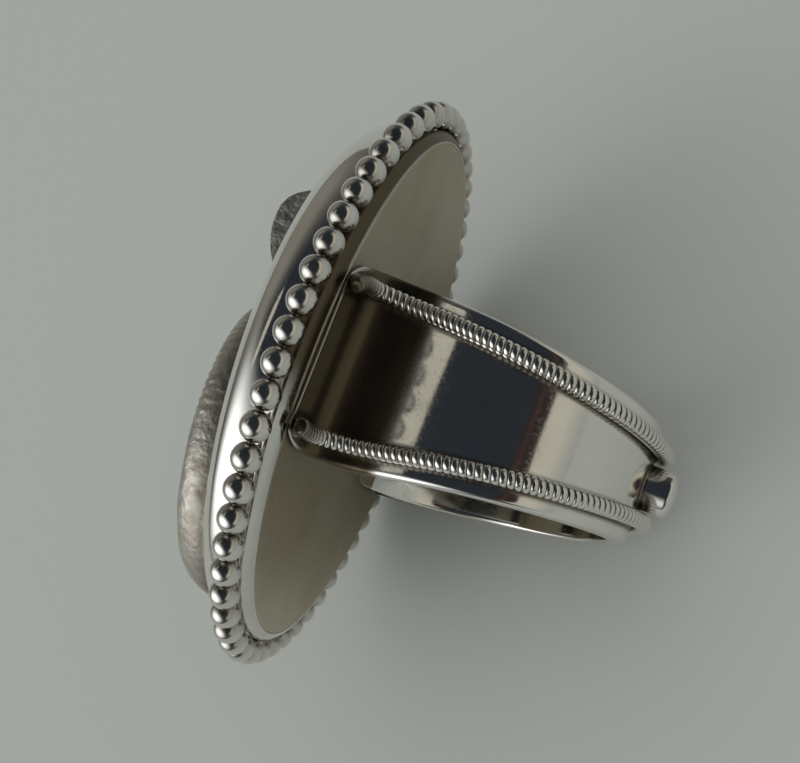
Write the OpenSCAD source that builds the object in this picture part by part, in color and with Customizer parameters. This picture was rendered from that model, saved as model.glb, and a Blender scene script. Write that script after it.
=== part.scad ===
// Silver dress ring. A tapered band with two wound wires and a small base
// collet carries a large oval head: back plate, rim wall, a row of beads,
// a dome and a raised spiral shell.
// The ring is drawn with its finger axis along Y, its head towards +Z and its
// base towards -Z. It is then turned about Y until it lies on its side, on the
// beads and on both wires. The origin is the middle of the finger hole.

/* [Band] */
// Diameter of the finger hole
bore_d = 17.2; // [16.8:0.1:18]
// Thickness of the band
band_t = 1.1; // [0.9:0.05:1.3]
// Distance from a wound wire's middle to the band's edge
flange_w = 1.5; // [1.2:0.05:1.6]
// How far the shoulders stay round above the finger hole's middle, in degrees
shoulder_a = 15; // [10:1:17]
// Radius at which each shoulder starts to turn outward
shoulder_r = 4; // [3.5:0.1:4.5]
// Radius of the tight bend into the foot
foot_r = 1.6; // [1.4:0.05:1.8]
// Length of the foot that lies along the back plate
foot_flat = 2; // [1.5:0.1:2.2]

/* [Wound wires] */
// Outer radius of a wound wire
coil_r = 0.52; // [0.4:0.01:0.55]
// Distance between the wires' middles at the base
coil_gap_base = 4.18; // [4.1:0.02:4.6]
// Distance the wires' middles would have at the head without their turned in ends
coil_gap_head = 10.6; // [10:0.05:11.5]
// How much nearer each wire turns in at its ends
coil_corner = 1.27; // [1:0.01:1.6]
// How far the band's handmade ends drift towards -Y at the head
coil_drift = 0.42; // [0:0.01:0.5]

/* [Base collet] */
// Radius of the collet
collet_r = 1.42; // [1.1:0.01:1.44]
// Height of the collet's wall above the band
collet_h = 1.75; // [1.3:0.05:2.2]
// Radius of the collet's rounded rim
collet_lip = 0.35; // [0.2:0.05:0.5]

/* [Head] */
// Half width of the oval through the beads' middles, across the finger
row_a = 14.69; // [13.5:0.01:16]
// Half length of the oval through the beads' middles, along the finger
row_b = 18.02; // [17:0.01:20]
// Radius of one bead
bead_r = 0.87; // [0.75:0.01:0.95]
// Smallest space between two beads
bead_space = 0.06; // [0.04:0.01:0.3]
// How far inside the beads' oval the back plate ends, across the finger
plate_in_x = 1.88; // [1.6:0.02:2.2]
// How far inside the beads' oval the back plate ends, along the finger
plate_in_y = 1.49; // [1.4:0.01:1.8]
// Thickness of the back plate
plate_t = 0.7; // [0.6:0.05:0.8]
// Height of the beads' middles above the plate's back
row_h = 1.07; // [0.9:0.01:1.3]
// Height of the dome above its foot
dome_h = 4.7; // [3.5:0.1:6]
// How much higher the dome is at its far end than in the middle, as a part
dome_lean = 0.22; // [0:0.01:0.3]
// Thickness of the dome and of the rim wall
wall_t = 0.8; // [0.6:0.05:1]

/* [Shell relief] */
// Radius of the outer whorl half way round
whorl_r = 11.3; // [9:0.1:11.5]
// How much the whorl grows in one turn
whorl_growth = 1.99; // [1.9:0.01:2.1]
// Height of a whorl as a part of its width
whorl_rise = 0.38; // [0.2:0.01:0.45]
// Height of the relief in the grooves between whorls
groove_h = 0.7; // [0.4:0.05:1]

/* [Hidden] */
$fn = 64;

silver = "silver";
matt_silver = "darkgray";

// Small space that keeps neighbouring pieces apart
gap = 0.06;

// Derived sizes of the band
bore_r = bore_d / 2;
band_r = bore_r + band_t;
coil_lift = coil_r + gap + 0.02;
top_z = bore_r;
plate_z = top_z + gap;
open_x = sqrt(pow(band_r, 2) - pow(top_z, 2));

// Angles from Z at which the +X side line passes from the shoulder's bend to
// the foot's bend, and runs out along the plate. The foot has a blunt edge,
// and the wires run on past it.
bend_a = 25;
foot_a = 84;
foot_edge = 0.15;
coil_over = 0.5;

// Middles of the foot's bend and of the shoulder's bend, and the straight
// stretch below them
foot_z = top_z - foot_edge - foot_flat * cos(foot_a) - foot_r * sin(foot_a);
bend_z = foot_z - (shoulder_r - foot_r) * sin(bend_a);
line_end_z = bend_z - shoulder_r * sin(shoulder_a);
line_end_x = band_r * cos(shoulder_a)
    - (line_end_z - band_r * sin(shoulder_a)) * tan(shoulder_a);
bend_x = line_end_x + shoulder_r * cos(shoulder_a);
foot_x = bend_x - (shoulder_r - foot_r) * cos(bend_a);

// Side line of the band, for a line that lies d outside its surface: round,
// straight, two bends outward and flat. u runs from 0 at the base to 1 past
// the foot's edge, at an even pace.
function round_len(d) = (band_r + d) * (90 + shoulder_a) * PI / 180;
function line_len() = (line_end_z - band_r * sin(shoulder_a)) / cos(shoulder_a);
function bend_len(d) = (shoulder_r - d) * (bend_a + shoulder_a) * PI / 180;
function foot_len(d) = (foot_r - d) * (foot_a - bend_a) * PI / 180;
function side_len(d) =
    round_len(d) + line_len() + bend_len(d) + foot_len(d) + foot_flat + coil_over;
function bend_point(x, z, r, a) = [x - r * cos(a), z + r * sin(a)];
function side_point(u, d) =
    let (s = u * side_len(d),
         s_line = s - round_len(d),
         s_bend = s_line - line_len(),
         s_foot = s_bend - bend_len(d),
         s_flat = s_foot - foot_len(d))
    s_line <= 0 ?
        bend_point(0, 0, -band_r - d, 90 - s / (band_r + d) * 180 / PI) :
    s_bend <= 0 ?
        [(band_r + d) * cos(shoulder_a) - s_line * sin(shoulder_a),
         (band_r + d) * sin(shoulder_a) + s_line * cos(shoulder_a)] :
    s_foot <= 0 ?
        bend_point(bend_x, bend_z, shoulder_r - d,
                   -shoulder_a + s_bend / (shoulder_r - d) * 180 / PI) :
    s_flat <= 0 ?
        bend_point(foot_x, foot_z, foot_r - d, bend_a + s_foot / (foot_r - d) * 180 / PI) :
        bend_point(foot_x, foot_z, foot_r - d, foot_a) + s_flat * [sin(foot_a), cos(foot_a)];

// Distance of a wire's middle from the band's middle line, and that line's y
coil_ease = 1.47;
corner_len = 2.2;
function turned_in(u, d) = exp(-(1 - u) * side_len(d) / corner_len);
function coil_half(u) =
    coil_gap_base / 2 + (coil_gap_head - coil_gap_base) / 2 * pow(u, coil_ease)
    - coil_corner * turned_in(u, coil_lift);
function coil_y(u, side) = side * coil_half(u) - coil_drift * turned_in(u, coil_lift);

// Distance of a band's edge from the wire's middle, less at the rounded corners
edge_corner = 1.3;
function flange(u) = flange_w - edge_corner * turned_in(u, 0);

// Outline of the band seen along X: its width grows from base to plate
edge_steps = 60;
function edge_line(side) =
    [for (i = [0 : edge_steps])
        let (u = i / edge_steps) [coil_y(u, side) + side * flange(u), side_point(u, 0)[1]]];
function outline_half(side) =
    let (line = edge_line(side))
    concat([[line[0][0], -band_r - 1]], line, [[line[edge_steps][0], plate_z + 1]]);
function backward(line) = [for (i = [len(line) - 1 : -1 : 0]) line[i]];
function mirrored(line) = [for (p = backward(line)) [-p[0], p[1]]];
band_outline = concat(outline_half(1), backward(outline_half(-1)));

// Section of the band across the finger, its bore still filled. It is open
// at the top, where the round outside would meet the plate.
side_steps = 90;
foot_end_u = 1 - coil_over / side_len(0);
side_line = [for (i = [0 : side_steps]) side_point(i / side_steps * foot_end_u, 0)];
half_section = concat(side_line, [[side_line[side_steps][0], top_z], [open_x, top_z], [open_x, 0]]);
band_section = concat(half_section, mirrored([for (i = [1 : len(half_section) - 1]) half_section[i]]));

// Turn that lays the ring on its side, so that the beads and the wires touch
// the floor together
row_z = plate_z + row_h;
lean_reach = norm([row_a, row_z]);
lean_a = acos((band_r + coil_lift + coil_r - bead_r) / lean_reach) - atan2(row_z, row_a);
module lay_down() rotate([0, -(90 - lean_a), 0]) children();

// Cylinder along the finger axis
module finger_axis_cylinder(r, h) rotate([90, 0, 0]) cylinder(r = r, h = h, center = true);

module shank_body() {
    intersection() {
        difference() {
            rotate([90, 0, 0])
                linear_extrude(height = 2 * coil_gap_head, center = true) polygon(band_section);
            finger_axis_cylinder(bore_r, 3 * coil_gap_head);
        }
        rotate([90, 0, 90])
            linear_extrude(height = 4 * band_r, center = true) polygon(band_outline);
    }
}

module shank() color(silver) lay_down() shank_body();

// Round wire along a list of points, with a ring of corners at each point
function unit(v) = v / norm(v);
function corners_at(path, i, r, sides) =
    let (last = len(path) - 1,
         along = unit(path[min(i + 1, last)] - path[max(i - 1, 0)]),
         out = unit(cross(along, [0, 1, 0])),
         side = cross(along, out))
    [for (k = [0 : sides - 1]) let (f = (k + 0.5) * 360 / sides)
        path[i] + r * (out * cos(f) + side * sin(f))];
module wire(path, r, sides) {
    n = len(path);
    points = [for (i = [0 : n - 1]) each corners_at(path, i, r, sides)];
    walls = [for (i = [0 : n - 2]) for (k = [0 : sides - 1])
        let (k2 = (k + 1) % sides)
        [i * sides + k, (i + 1) * sides + k, (i + 1) * sides + k2, i * sides + k2]];
    start = [for (k = [0 : sides - 1]) k];
    finish = [for (k = [sides - 1 : -1 : 0]) (n - 1) * sides + k];
    polyhedron(points = points, faces = concat([start], walls, [finish]), convexity = 6);
}

// One wound wire, from the plate on one side round the base to the other side
coil_steps = 44;
coil_sides = 10;
module coil_wire(side) {
    path = [for (i = [-coil_steps : coil_steps])
        let (u = abs(i) / coil_steps, p = side_point(u, coil_lift))
        [sign(i) * p[0], coil_y(u, side), p[1]]];
    wire(path, coil_r, coil_sides);
}

module coil_wire_top() color(silver) lay_down() coil_wire(1);

module coil_wire_bottom() color(silver) lay_down() coil_wire(-1);

// Turned collet with a rounded rim and a low domed end, cut to sit on the band
collet_cap = 0.2;
collet_cap_r = 4;
module base_collet() {
    flat_r = collet_r - collet_lip;
    start = band_r - 0.5;
    wall_h = band_r + collet_h - collet_lip - start;
    end_h = wall_h + collet_lip;
    color(silver) lay_down() difference() {
        mirror([0, 0, 1]) translate([0, 0, start]) rotate_extrude() {
            square([collet_r, wall_h]);
            square([flat_r, end_h]);
            translate([flat_r, wall_h]) circle(r = collet_lip);
            intersection() {
                square([flat_r, end_h + collet_cap]);
                translate([0, end_h + collet_cap - collet_cap_r]) circle(r = collet_cap_r);
            }
        }
        finger_axis_cylinder(band_r + gap, 4 * collet_r);
    }
}

// Oval in the plane z, with head_sides corners
head_sides = 64;
function oval(a, b, z) =
    [for (k = [0 : head_sides - 1]) let (f = k * 360 / head_sides) [a * cos(f), b * sin(f), z]];

// Half sizes of the plate and of the seat behind the beads
plate_a = row_a - plate_in_x;
plate_b = row_b - plate_in_y;
seat_in = bead_r + 1.5 * gap;
seat_a = row_a - seat_in;
seat_b = row_b - seat_in;

module back_plate() {
    color(matt_silver) lay_down() translate([0, 0, plate_z])
        linear_extrude(height = plate_t)
            polygon([for (p = oval(plate_a, plate_b, 0)) [p[0], p[1]]]);
}

// Heights of the rim wall's section above the plate's back
wall_foot_h = 0.1;
wall_flare_h = 0.5;
wall_seat_h = 0.75;
wall_top_h = 1.35;
wall_flare = 0.12;
dome_z = plate_z + wall_top_h + gap;

// Spreading wall from the plate's edge to the beads, with a seat behind them.
// Each row of its closed section is half width, half length and height.
module rim_wall() {
    floor_h = plate_t + gap;
    section = [
        [plate_a + gap, plate_b + gap, wall_foot_h],
        [seat_a + wall_flare, seat_b + wall_flare, wall_flare_h],
        [seat_a, seat_b, wall_seat_h],
        [seat_a, seat_b, wall_top_h],
        [seat_a - wall_t, seat_b - wall_t, wall_top_h],
        [seat_a - wall_t, seat_b - wall_t, floor_h],
        [plate_a + gap, plate_b + gap, floor_h]];
    n = len(section);
    points = [for (row = section) each oval(row[0], row[1], plate_z + row[2])];
    faces = [for (j = [0 : n - 1]) for (k = [0 : head_sides - 1])
        let (j2 = (j + 1) % n, k2 = (k + 1) % head_sides)
        [j * head_sides + k, j2 * head_sides + k, j2 * head_sides + k2, j * head_sides + k2]];
    color(silver) lay_down() polyhedron(points = points, faces = faces, convexity = 4);
}

// Arc length round the bead oval, as a table of [length, angle]
row_steps = 180;
function row_point(f) = [row_a * cos(f), row_b * sin(f), row_z];
row_chords = [for (k = [0 : row_steps - 1])
    norm(row_point((k + 1) * 360 / row_steps) - row_point(k * 360 / row_steps))];
row_sums = [for (k = 0, s = 0; k <= row_steps; s = s + (k < row_steps ? row_chords[k] : 0), k = k + 1)
    [s, k * 360 / row_steps]];
row_len = row_sums[row_steps][0];
bead_n = floor(row_len / (2 * bead_r + bead_space));
// Part of a pitch by which the first bead lies past the +X end of the oval
bead_phase = 0.92;
bead_points = [for (i = [0 : bead_n - 1])
    row_point(lookup((i + bead_phase) / bead_n * row_len, row_sums))];

// Beaded wire: round beads on a short neck from each to the next
neck_r = 0.36;
module bead_row() {
    color(silver) lay_down() union() {
        for (i = [0 : bead_n - 1]) {
            here = bead_points[i];
            step = bead_points[(i + 1) % bead_n] - here;
            translate(here) sphere(r = bead_r);
            translate(here) rotate([0, 90, atan2(step[1], step[0])])
                cylinder(r = neck_r, h = norm(step));
        }
    }
}

// Height of the dome's front over a point of the head. It is steep at the foot
// and nearly flat on top, and leans towards the +Y end.
dome_curve = 0.28;
function dome_rise(x, y) =
    let (inside = max(0, 1 - pow(x / seat_a, 2) - pow(y / seat_b, 2)))
    dome_z + dome_h * pow(inside, dome_curve) * (1 + dome_lean * y / seat_b);

// Hollow dome: outer rows climb to the top, inner rows come back down. Each
// row is an oval whose half sizes shrink with the cosine of its angle.
dome_rows = [0, 1, 4, 9, 16, 25, 36, 50, 68];
function dome_row(t, in) =
    [for (k = [0 : head_sides - 1]) let (f = k * 360 / head_sides)
        [(seat_a - in) * cos(t) * cos(f), (seat_b - in) * cos(t) * sin(f),
         dome_z + (dome_h - in) * pow(sin(t), 2 * dome_curve)
            * (1 + dome_lean * cos(t) * sin(f))]];
module dome() {
    n = len(dome_rows);
    rows = concat([for (t = dome_rows) dome_row(t, 0)],
                  [for (i = [n - 1 : -1 : 0]) dome_row(dome_rows[i], wall_t)]);
    tops = [[0, 0, dome_z + dome_h], [0, 0, dome_z + dome_h - wall_t]];
    points = concat([for (r = rows) each r], tops);
    top = len(points) - 2;
    function quad(j, j2, k) = let (k2 = (k + 1) % head_sides)
        [j * head_sides + k2, j * head_sides + k, j2 * head_sides + k, j2 * head_sides + k2];
    faces = concat(
        [for (j = [0 : n - 2]) for (k = [0 : head_sides - 1]) quad(j, j + 1, k)],
        [for (j = [n : 2 * n - 2]) for (k = [0 : head_sides - 1]) quad(j, j + 1, k)],
        [for (k = [0 : head_sides - 1]) quad(2 * n - 1, 0, k)],
        [for (k = [0 : head_sides - 1]) let (k2 = (k + 1) % head_sides)
            [(n - 1) * head_sides + k2, (n - 1) * head_sides + k, top]],
        [for (k = [0 : head_sides - 1]) let (k2 = (k + 1) % head_sides)
            [n * head_sides + k, n * head_sides + k2, top + 1]]);
    color(silver) lay_down() polyhedron(points = points, faces = faces, convexity = 6);
}

// Spiral shell. Its whorl winds clockwise from the mouth and halves in width
// with each turn. A ribbon of rows follows it in to the middle, and the inner
// edge of each turn is the outer edge of the next one in.
shell_x = 0.24;
shell_y = -4.73;
shell_squash = 0.72;
mouth_a = 83;
whorl_skew = 1.88;
turn_steps = 48;
turns = 3;
// Parts of the whorl's width at which the rows lie, closest at the outside
row_parts = [0, 0.15, 0.35, 0.55, 0.72, 0.86, 0.95, 1];
rows_across = len(row_parts) - 1;
function whorl_edge(i) = whorl_r * pow(whorl_growth, i / turn_steps - 0.5);
function whorl_height(i, t) =
    groove_h + whorl_rise * (whorl_edge(i) - whorl_edge(i - turn_steps))
    * sqrt(max(0, 1 - pow(2 * pow(t, whorl_skew) - 1, 2)));
function whorl_point(i, t, raised) =
    let (r = whorl_edge(i - turn_steps) * (1 - t) + whorl_edge(i) * t,
         f = mouth_a - i * 360 / turn_steps,
         x = shell_x + shell_squash * r * cos(f),
         y = shell_y + r * sin(f))
    [x, y, dome_rise(x, y) + (raised ? whorl_height(i, t) : gap)];

// Columns run from the mouth, inward turn by turn. Two layers of points: the
// raised face and the underside. A point in the middle closes each layer.
module shell_relief() {
    columns = turn_steps * turns;
    stride = rows_across + 1;
    layer = (columns + 1) * stride + 1;
    middle = layer - 1;
    last_edge = columns * stride + rows_across;
    points = [for (raised = [true, false]) each concat(
        [for (c = [0 : columns]) for (j = [0 : rows_across])
            whorl_point(turn_steps - c, row_parts[j], raised)],
        [[shell_x, shell_y, dome_rise(shell_x, shell_y) + (raised ? groove_h : gap)]])];
    // A column's inner edge point is the outer edge point one turn further in
    function id(c, j) = j == 0 && c + turn_steps <= columns ?
        (c + turn_steps) * stride + rows_across : c * stride + j;
    // Loop round the innermost turn that the middle point closes
    inner_loop = concat(
        [for (j = [rows_across : -1 : 1]) columns * stride + j],
        [for (c = [columns : -1 : columns - turn_steps + 1]) c * stride],
        [last_edge]);
    front = concat(
        [for (c = [0 : columns - 1]) for (j = [0 : rows_across - 1])
            [id(c, j), id(c + 1, j), id(c + 1, j + 1), id(c, j + 1)]],
        [for (k = [0 : len(inner_loop) - 2]) [inner_loop[k], inner_loop[k + 1], middle]]);
    back = [for (f = front) [for (k = [len(f) - 1 : -1 : 0]) f[k] + layer]];
    rim = concat(
        [for (j = [0 : rows_across]) id(0, j)],
        [for (c = [1 : turn_steps]) id(c, rows_across)]);
    walls = [for (k = [0 : len(rim) - 2])
        [rim[k], rim[k + 1], rim[k + 1] + layer, rim[k] + layer]];
    color(silver) lay_down() polyhedron(
        points = points, faces = concat(front, back, walls), convexity = 8);
}

shank();
coil_wire_top();
coil_wire_bottom();
base_collet();
back_plate();
rim_wall();
bead_row();
dome();
shell_relief();
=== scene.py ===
"""Silver dress ring that lies on its side on a pale floor, dressed for rendering.

Sizes are in millimetres in the ring's own axes: the finger axis along Y, the
head towards +Z and the base of the band towards -Z. RestPose turns a finished
surface about Y, until the ring lies on its beads and both wires, and gives
metres in the frame of the CAD part.
"""

import logging
import math
from abc import ABC, abstractmethod
from dataclasses import dataclass, field
from enum import Enum

import bpy
import numpy as np
from mathutils import Matrix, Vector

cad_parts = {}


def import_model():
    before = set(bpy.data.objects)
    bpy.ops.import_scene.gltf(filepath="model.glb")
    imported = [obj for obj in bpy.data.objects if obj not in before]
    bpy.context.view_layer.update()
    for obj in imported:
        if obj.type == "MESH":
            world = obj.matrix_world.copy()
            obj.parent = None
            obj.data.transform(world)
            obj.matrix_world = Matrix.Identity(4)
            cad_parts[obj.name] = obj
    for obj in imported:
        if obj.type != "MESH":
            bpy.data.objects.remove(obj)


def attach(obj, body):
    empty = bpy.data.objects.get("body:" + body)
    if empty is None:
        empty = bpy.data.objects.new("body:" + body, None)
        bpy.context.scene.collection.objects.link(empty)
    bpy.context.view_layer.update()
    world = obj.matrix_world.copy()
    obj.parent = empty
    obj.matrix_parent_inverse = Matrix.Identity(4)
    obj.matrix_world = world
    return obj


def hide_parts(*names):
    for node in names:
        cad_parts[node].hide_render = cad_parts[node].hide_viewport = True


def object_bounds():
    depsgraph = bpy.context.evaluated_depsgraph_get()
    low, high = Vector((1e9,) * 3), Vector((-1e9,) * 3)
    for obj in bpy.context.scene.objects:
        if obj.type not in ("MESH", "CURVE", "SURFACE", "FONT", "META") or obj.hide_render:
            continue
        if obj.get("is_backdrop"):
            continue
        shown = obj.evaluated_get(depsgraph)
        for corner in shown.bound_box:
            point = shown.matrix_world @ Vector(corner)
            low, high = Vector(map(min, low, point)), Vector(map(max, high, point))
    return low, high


Array = np.ndarray
Colour = tuple[float, float, float]
Span = tuple[float, float]

# One millimetre in metres, and the gap that stands for solder in millimetres
MM = 0.001
GAP = 0.06

log = logging.getLogger("silver_ring")


class Slot(Enum):
    """Material slots of the part's record."""

    POLISHED = "polished_silver"
    MATT = "matt_silver"
    CAST = "cast_silver"


class Edge(Enum):
    """Edge of the band that a wire lies along, by the sign of its Y."""

    TOP = 1
    BOTTOM = -1


class Sum(Enum):
    """Sums that a material's nodes do on two values."""

    ADD = "ADD"
    TIMES = "MULTIPLY"
    ROOT = "SQRT"
    ABOVE = "GREATER_THAN"


# Surfaces


def full_turn(steps: int) -> Array:
    """Angles of a full turn at an even pace, in radians."""
    return np.arange(steps) * 2 * math.pi / steps


def as_points(x: Array, y: Array, z: Array) -> Array:
    """Rows of x, y and z, from arrays that broadcast to one shape."""
    return np.stack(np.broadcast_arrays(x, y, z), axis=-1).reshape(-1, 3)


def smooth(value: Array, span: Span) -> Array:
    """Soft step from 0 where the span starts to 1 where it ends: 3 t squared minus 2 t cubed.

    Args:
        value: where the step is read.
        span: values at which the step leaves 0 and reaches 1.

    Returns:
        The step, of the same shape as value.
    """
    low, high = span
    t = np.clip((value - low) / (high - low), 0, 1)
    return t * t * (3 - 2 * t)


def grid_quads(
    rows: int, columns: int, close_rows: bool = False, close_columns: bool = False
) -> Array:
    """Quads of a grid whose point (row, column) has the index row times columns plus column.

    Args:
        rows: number of rows of points.
        columns: number of points in a row.
        close_rows: the last row joins the first one.
        close_columns: the last column joins the first one.

    Returns:
        Point indices, four to a quad.
    """
    row = np.arange(rows if close_rows else rows - 1)[:, None]
    column = np.arange(columns if close_columns else columns - 1)[None, :]
    next_row = (row + 1) % rows * columns
    next_column = (column + 1) % columns
    row = row * columns
    corners = [row + column, row + next_column, next_row + next_column, next_row + column]
    return np.stack(corners, axis=-1).reshape(-1, 4)


def fan(loop: Array, centre: int) -> Array:
    """Triangles from a closed loop of points to the point with the index centre."""
    return np.stack([loop, np.roll(loop, -1), np.full(len(loop), centre)], axis=-1)


def tube(rows: int, columns: int) -> list[Array]:
    """Faces of a grid that is closed round, with a fan over each end.

    Args:
        rows: number of rows of points.
        columns: number of points round a row.

    Returns:
        The quads, and the triangles round two points that follow the grid's:
        the middle of the first row, then the middle of the last one.
    """
    ring = np.arange(columns)
    count = rows * columns
    quads = grid_quads(rows, columns, close_columns=True)
    return [quads, fan(ring[::-1], count), fan(ring + count - columns, count + 1)]


@dataclass
class Surface:
    """Closed surface in the ring's own axes, with its tarnish and painted shade at each point."""

    points: Array
    faces: list[Array]
    patina_and_shade: Array | None = None

    def volume(self) -> float:
        """Signed volume: the sum over fan triangles of a . (b x c) / 6.

        Returns:
            The volume, above 0 where the faces point outwards.
        """
        total = 0.0
        for corners in self.faces:
            for k in range(1, corners.shape[1] - 1):
                a, b, c = (self.points[corners[:, i]] for i in (0, k, k + 1))
                total += float(np.einsum("ij,ij->", a, np.cross(b, c))) / 6
        return total

    def faced_out(self) -> "Surface":
        """The same surface with its faces pointing outwards.

        Returns:
            This surface, or one with every face turned over.
        """
        if self.volume() > 0:
            return self
        return Surface(self.points, [corners[:, ::-1] for corners in self.faces], self.patina_and_shade)


@dataclass(frozen=True)
class RestPose:
    """How the ring lies: the head leans up from the floor by this angle, in radians."""

    lean: float

    def place(self, points: Array) -> Array:
        """Points in the part's frame. The ring turns about Y by the lean less a quarter turn.

        Args:
            points: points in the ring's own axes, in millimetres.

        Returns:
            The turned points, in metres.
        """
        turn = self.lean - math.pi / 2
        x = math.cos(turn) * points[:, 0] + math.sin(turn) * points[:, 2]
        z = -math.sin(turn) * points[:, 0] + math.cos(turn) * points[:, 2]
        return np.column_stack([x, points[:, 1], z]) * MM


# Lines that several pieces share


@dataclass(frozen=True)
class BandLine:
    """Side line of the band: round over the finger, straight, and bent out twice to a flat foot."""

    bore_r: float = 8.6
    thickness: float = 1.1
    shoulder: float = math.radians(15)
    shoulder_r: float = 4.0
    bend: float = math.radians(25)
    foot_r: float = 1.6
    foot_turn: float = math.radians(84)
    foot_flat: float = 2.0
    foot_edge: float = 0.15
    wire_over: float = 0.5
    wire_r: float = 0.52
    wire_lift: float = 0.6
    gap_base: float = 4.18
    gap_head: float = 10.6
    ease: float = 1.47
    corner: float = 1.27
    drift: float = 0.42
    corner_len: float = 2.2
    flange_w: float = 1.5
    edge_corner: float = 1.3

    @property
    def outer_r(self) -> float:
        """Outer radius of the band."""
        return self.bore_r + self.thickness

    @property
    def straight(self) -> float:
        """Length of the straight stretch of a shoulder.

        The foot's top lies as high as the finger hole. What the foot, the bends
        and the round part climb is taken off that height, and the straight
        stretch climbs the rest.

        Returns:
            The length.
        """
        foot = self.foot_edge + self.foot_flat * math.cos(self.foot_turn)
        foot += self.foot_r * math.sin(self.foot_turn)
        bends = (self.shoulder_r - self.foot_r) * math.sin(self.bend)
        bends += self.shoulder_r * math.sin(self.shoulder)
        climb = self.bore_r - foot - bends - self.outer_r * math.sin(self.shoulder)
        return climb / math.cos(self.shoulder)

    @property
    def turns(self) -> Array:
        """Angle that the line turns through on each stretch, positive round the finger."""
        bends = (-self.shoulder - self.bend, self.bend - self.foot_turn)
        return np.array([math.pi / 2 + self.shoulder, 0, *bends, 0])

    def lengths(self, lift: float) -> Array:
        """Lengths of the five stretches of a line that lies lift outside the band."""
        radii = np.array([self.outer_r + lift, 0, lift - self.shoulder_r, lift - self.foot_r, 0])
        return radii * self.turns + [0, self.straight, 0, 0, self.foot_flat + self.wire_over]

    def side(self, u: Array, lift: float) -> tuple[Array, Array]:
        """Side line at an even pace, from 0 at the base to 1 past the foot's edge.

        It adds up, stretch by stretch, how far the line has come. On an arc
        that is the signed radius times the change in the sine and in minus the
        cosine of the heading. On a straight stretch it is the length along the
        heading.

        Args:
            u: part of the line's length.
            lift: distance of the line outside the band.

        Returns:
            x and z of the line on the +X side.
        """
        lengths = self.lengths(lift)
        run = u * lengths.sum()
        x = np.zeros_like(run)
        z = x - self.outer_r - lift
        start = heading = 0.0
        for length, turn in zip(lengths, self.turns):
            part = np.clip((run - start) / length, 0, 1)
            ahead = heading + turn * part
            if turn:
                x += length / turn * (np.sin(ahead) - math.sin(heading))
                z -= length / turn * (np.cos(ahead) - math.cos(heading))
            else:
                x += length * part * math.cos(heading)
                z += length * part * math.sin(heading)
            start += length
            heading += turn
        return x, z

    def turned_in(self, u: Array, lift: float) -> Array:
        """Share of the turn in at the plate: it falls off exponentially away from it."""
        return np.exp((u - 1) * self.lengths(lift).sum() / self.corner_len)

    def middle(self, u: Array) -> Array:
        """Middle line of the band, which drifts to -Y at the plate."""
        return -self.drift * self.turned_in(u, self.wire_lift)

    def wire_out(self, u: Array) -> Array:
        """Distance of a wire's middle from the band's middle line.

        It grows as a power of the distance from the base, and falls off where
        the wire turns in at the plate.

        Args:
            u: part of the line's length.

        Returns:
            The distance at each u.
        """
        spread = (self.gap_head - self.gap_base) / 2 * np.power(u, self.ease)
        return self.gap_base / 2 + spread - self.corner * self.turned_in(u, self.wire_lift)

    def flange(self, u: Array) -> Array:
        """Distance of the band's edge from the wire's middle, less at the rounded corners."""
        return self.flange_w - self.edge_corner * self.turned_in(u, 0.0)


@dataclass(frozen=True)
class HeadLine:
    """Ovals and heights of the head."""

    row_a: float = 14.69
    row_b: float = 18.02
    bead_r: float = 0.87
    row_height: float = 1.07
    plate_z: float = 8.66
    plate_t: float = 0.7
    plate_in_x: float = 1.88
    plate_in_y: float = 1.49
    wall_top: float = 1.35
    wall_t: float = 0.8
    seat_gaps: float = 1.5

    @property
    def plate(self) -> Array:
        """Half width and half length of the plate."""
        return np.array([self.row_a - self.plate_in_x, self.row_b - self.plate_in_y])

    @property
    def seat(self) -> Array:
        """Half width and half length of the seat behind the beads."""
        return np.array([self.row_a, self.row_b]) - (self.bead_r + self.seat_gaps * GAP)

    @property
    def row_z(self) -> float:
        """Height of the beads' middles."""
        return self.plate_z + self.row_height

    @property
    def dome_z(self) -> float:
        """Height of the dome's foot."""
        return self.plate_z + self.wall_top + GAP

    def row(self, turn: Array) -> Array:
        """The beads' oval, as x and y at each angle."""
        return np.column_stack([self.row_a * np.cos(turn), self.row_b * np.sin(turn)])

    def rest_lean(self, band: BandLine) -> float:
        """Angle at which the beads and the wires touch the floor together.

        Args:
            band: the band that carries the wires.

        Returns:
            The angle, in radians.
        """
        reach = band.outer_r + band.wire_lift + band.wire_r - self.bead_r
        far = math.hypot(self.row_a, self.row_z)
        return math.acos(reach / far) - math.atan2(self.row_z, self.row_a)


# Finishes


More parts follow.
